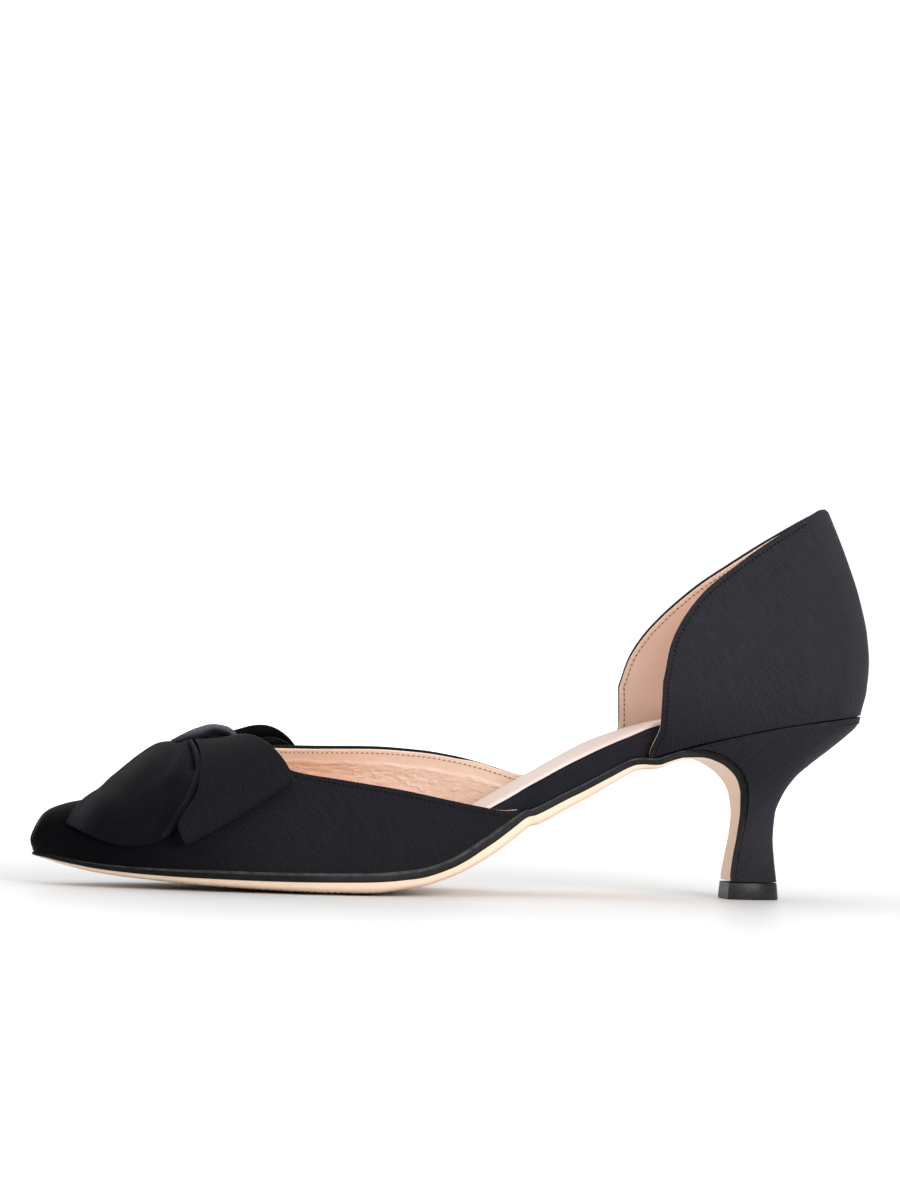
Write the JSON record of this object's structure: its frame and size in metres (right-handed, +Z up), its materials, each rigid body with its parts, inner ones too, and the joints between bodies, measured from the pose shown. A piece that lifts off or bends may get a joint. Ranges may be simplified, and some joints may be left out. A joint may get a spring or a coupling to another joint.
{
  "type": "kitten heel pump",
  "caption": "Right-foot open-waist pump in ribbed black cloth: pointed vamp with a flat ribbon bow, separate deep counter, and a leather sole carried down the front of a flared kitten heel.",
  "frame": {"origin": "on the floor, under the middle of the shoe's length and width", "axes": "+X from toe to heel, -Y the inner (big toe) side, +Z up from the floor"},
  "size_m": [0.2529, 0.0756, 0.1184],
  "materials": {
    "ribbed_cloth": "fine ribbed black cloth, soft sheen along the ribs",
    "sock_leather": "smooth pale pink-beige lining leather",
    "sole_leather": "smooth beige sole leather with a black inked edge",
    "lift_rubber": "satin charcoal"
  },
  "bodies": {
    "root": {"outsole": "sole_leather", "insole": "ribbed_cloth", "sock": "sock_leather", "heel": "ribbed_cloth", "top_lift": "lift_rubber", "vamp": "ribbed_cloth", "counter": "ribbed_cloth", "bow_loop_inner": "ribbed_cloth", "bow_loop_outer": "ribbed_cloth", "bow_tail_inner": "ribbed_cloth", "bow_tail_outer": "ribbed_cloth", "bow_knot": "ribbed_cloth"}
  },
  "joints": []
}
